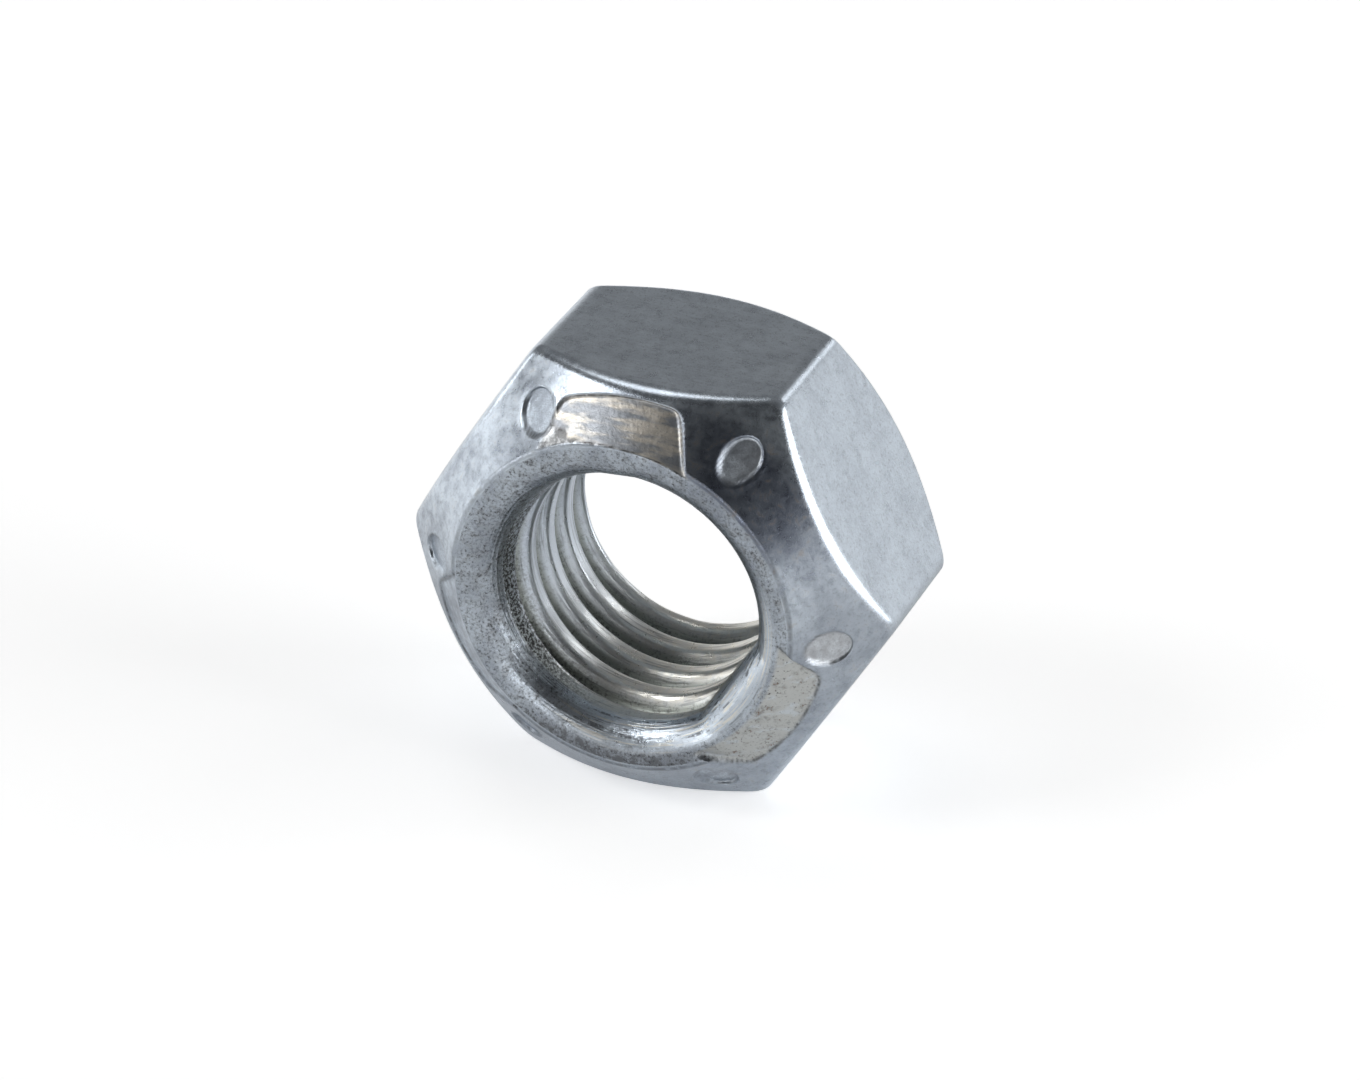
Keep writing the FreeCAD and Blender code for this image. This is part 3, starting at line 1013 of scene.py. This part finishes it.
        # greenish film and painted shade, darker deeper in the grooves
        colour = colour.over(self.groove_film_and_shade, groove.step(0.10, 0.75) * 0.72)
        colour = colour.over(self.dark_film_and_shade, rings.step(0.54, 0.66) * 0.50 * bore)
        colour = colour.over(self.grime_and_shade, (mottle * speckle).step(0.25, 0.34) * 0.55 * groove)
        on_left = (-grain.across).step(1.0, 4.5)
        return colour.over(self.grime_and_shade, speckle.step(0.40, 0.56) * on[Place.THREAD_START] * on_left * 0.9)

    def roughness(self, grain: Grain) -> Value:
        """Satin plate, rougher in the pads and marks and smoother where it is rolled.

        Args:
            grain: The shaded point.

        Returns:
            The roughness.
        """
        on = grain.on
        rough = 0.30 + (grain.mottle - 0.5) * 0.20 + (grain.speckle - 0.5) * 0.10
        rough = rough + on[Place.PAD] * 0.08 + on[Place.ROUGH_PAD] * 0.16 + on[Place.PIN_MARK] * 0.10
        rough = rough - on[Place.ROLLED] * 0.06 + on[Place.GROOVE] * 0.10
        return rough.held(0.12, 0.85)

    def relief(self, grain: Grain) -> Value:
        """Fine grain of the plate, gentle where the edges are rolled.

        Args:
            grain: The shaded point.

        Returns:
            Its height, for the bump.
        """
        on = grain.on
        on_land = on[Place.LAND].most(on[Place.MOUTH])
        relief = grain.grit * 0.25 + grain.speckle * 0.50 * (1.0 - on[Place.BORE] * 0.7)
        relief = relief + grain.drawn * 0.3 * (1.0 - on[Place.CROWN])
        relief = relief + grain.rings * (on[Place.MOUTH] * 3.0 + on[Place.BORE] * 1.2)
        hammered = on[Place.WARM_PAD] * 0.9 + on[Place.ROUGH_PAD] * 2.0 + on_land * 1.2
        return (relief + grain.mottle * hammered) * (1.0 - on[Place.ROLLED] * 0.75)


@dataclass(frozen=True)
class StudioWhite:
    """Plain white that the camera sees as white and that keeps the nut's shadow."""

    colour: tuple[float, float, float] = (0.86, 0.86, 0.86)
    glow_seen: float = 0.55
    glow_mirrored: float = 0.18
    glow_left: float = 0.60

    def build(self) -> bpy.types.Material:
        """Make the material.

        Returns:
            The finished material.
        """
        material = bpy.data.materials.new("studio_white")
        material.use_nodes = True
        maker = NodeMaker(material.node_tree)
        rays = maker.add("ShaderNodeLightPath")
        seen = maker.value(rays.outputs["Is Camera Ray"])
        mirrored = maker.value(rays.outputs["Is Glossy Ray"])
        across, _, _ = maker.parts(maker.add("ShaderNodeTexCoord").outputs["Object"])
        mirror_glow = across.step(0.0, -0.07).blend(self.glow_mirrored, self.glow_left)
        strength = seen * self.glow_seen + mirrored * mirror_glow
        paper = maker.add("ShaderNodeBsdfDiffuse", {}, {"Color": (*self.colour, 1.0)})
        glow = maker.add("ShaderNodeEmission", {}, {"Color": (1.0, 1.0, 1.0, 1.0), "Strength": strength})
        both = maker.add("ShaderNodeAddShader", {}, {0: paper.outputs[0], 1: glow.outputs[0]})
        maker.add("ShaderNodeOutputMaterial", {}, {"Surface": both.outputs[0]})
        return material


@dataclass(frozen=True)
class SoftBox:
    """One square lamp: where it hangs and its side in metres, and its power in watts."""

    name: str
    place: tuple[float, float, float]
    side: float
    power: float

    def hang(self, aim: tuple[float, float, float]) -> None:
        """Hang the lamp, facing a point.

        Args:
            aim: The point, in metres.
        """
        light = bpy.data.lights.new(self.name, "AREA")
        light.size = self.side
        light.energy = self.power
        lamp = bpy.data.objects.new(self.name, light)
        lamp.location = self.place
        lamp.rotation_euler = (Vector(aim) - Vector(self.place)).to_track_quat("-Z", "Y").to_euler()
        bpy.context.scene.collection.objects.link(lamp)


@dataclass
class Studio:
    """Floor, lamps, world and camera."""

    floor_half: float = 1.2
    aim: tuple[float, float, float] = (0.0, 0.0, 0.01)
    lamps: tuple[SoftBox, ...] = (
        SoftBox("high_left", (-0.37, -0.25, 0.40), 0.19, 0.68),
        SoftBox("overhead", (-0.16, 0.12, 0.50), 0.18, 0.20),
        SoftBox("left_box", (-0.48, 0.04, 0.15), 0.16, 0.18),
        SoftBox("left_front", (-0.42, -0.31, 0.07), 0.16, 0.20),
        SoftBox("right_box", (0.50, 0.08, 0.13), 0.38, 1.85),
        SoftBox("back_right", (0.20, 0.42, 0.25), 0.14, 0.14),
        SoftBox("front_low", (0.10, -0.55, 0.06), 0.20, 0.25),
    )
    horizon_glow: float = 1.0
    front_glow: float = 0.06
    back_glow: float = 0.19
    lens: float = 139.36
    camera_turn: tuple[tuple[float, float, float], ...] = (
        (0.92383125, 0.02915289, -0.38168827),
        (0.21439439, -0.86544438, 0.45281462),
        (-0.31712911, -0.50015612, -0.80577478),
    )
    camera_shift: tuple[float, float, float] = (-0.09365475, 0.10549979, 11.5218867)
    flat_to_front: float = -3.65

    def build(self) -> None:
        """Lay the floor, hang the lamps, and set the camera."""
        self.lay_floor()
        for lamp in self.lamps:
            lamp.hang(self.aim)
        self.tint_world()
        self.set_camera()

    def lay_floor(self) -> None:
        """One level sheet below the nut."""
        mesh = bpy.data.meshes.new("floor")
        far = self.floor_half
        corners = [(-far, -far, 0.0), (far, -far, 0.0), (far, far, 0.0), (-far, far, 0.0)]
        mesh.from_pydata(corners, [], [(0, 1, 2, 3)])
        floor = bpy.data.objects.new("floor", mesh)
        mesh.materials.append(StudioWhite().build())
        bpy.context.scene.collection.objects.link(floor)

    def tint_world(self) -> None:
        """Soft room: white for the camera, bright low down and darker overhead for the metal."""
        world = bpy.data.worlds.new("soft_room")
        world.use_nodes = True
        bpy.context.scene.world = world
        maker = NodeMaker(world.node_tree)
        _, back, rise = maker.parts(maker.add("ShaderNodeTexCoord").outputs["Generated"])
        seen = maker.value(maker.add("ShaderNodeLightPath").outputs["Is Camera Ray"])
        overhead = back.step(-0.4, 0.5).blend(self.front_glow, self.back_glow)
        room = rise.step(0.02, 0.38).blend(self.horizon_glow, overhead)
        background = maker.add("ShaderNodeBackground", {}, {
            "Color": (1.0, 1.0, 1.0, 1.0), "Strength": seen.blend(room, 1.0)})
        maker.add("ShaderNodeOutputWorld", {}, {"Surface": background.outputs[0]})

    def set_camera(self) -> None:
        """Camera at the viewing angle of the photograph."""
        unit = NutBody.across_flats
        turn = Matrix(self.camera_turn)
        centre = -(turn.transposed() @ Vector(self.camera_shift))
        to_world = Matrix(((1.0, 0.0, 0.0), (0.0, 0.0, -1.0), (0.0, 1.0, 0.0)))
        origin = Vector((0.0, self.flat_to_front, unit / 2))
        place = (to_world @ (centre * unit) + origin) * MM
        right, down, forward = (to_world @ Vector(row) for row in self.camera_turn)
        lens = bpy.data.cameras.new("camera")
        lens.lens = self.lens
        lens.sensor_width = 36.0
        lens.sensor_fit = "HORIZONTAL"
        lens.clip_start = 0.01
        camera = bpy.data.objects.new("camera", lens)
        axes = Matrix((right, -down, -forward)).transposed().to_4x4()
        camera.matrix_world = Matrix.Translation(place) @ axes
        bpy.context.scene.collection.objects.link(camera)
        bpy.context.scene.camera = camera


def main() -> None:
    """Build the nut and its surroundings."""
    logging.basicConfig(level=logging.INFO)
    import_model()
    ZincPlate().build()
    nut = NutBody().build()
    LOG.info("nut body: %d triangles", sum(len(face.vertices) - 2 for face in nut.data.polygons))
    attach(nut, "root")
    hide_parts("lock_nut")
    Studio().build()
    bpy.context.scene.view_settings.view_transform = "Standard"


if __name__ == "__main__":
    main()
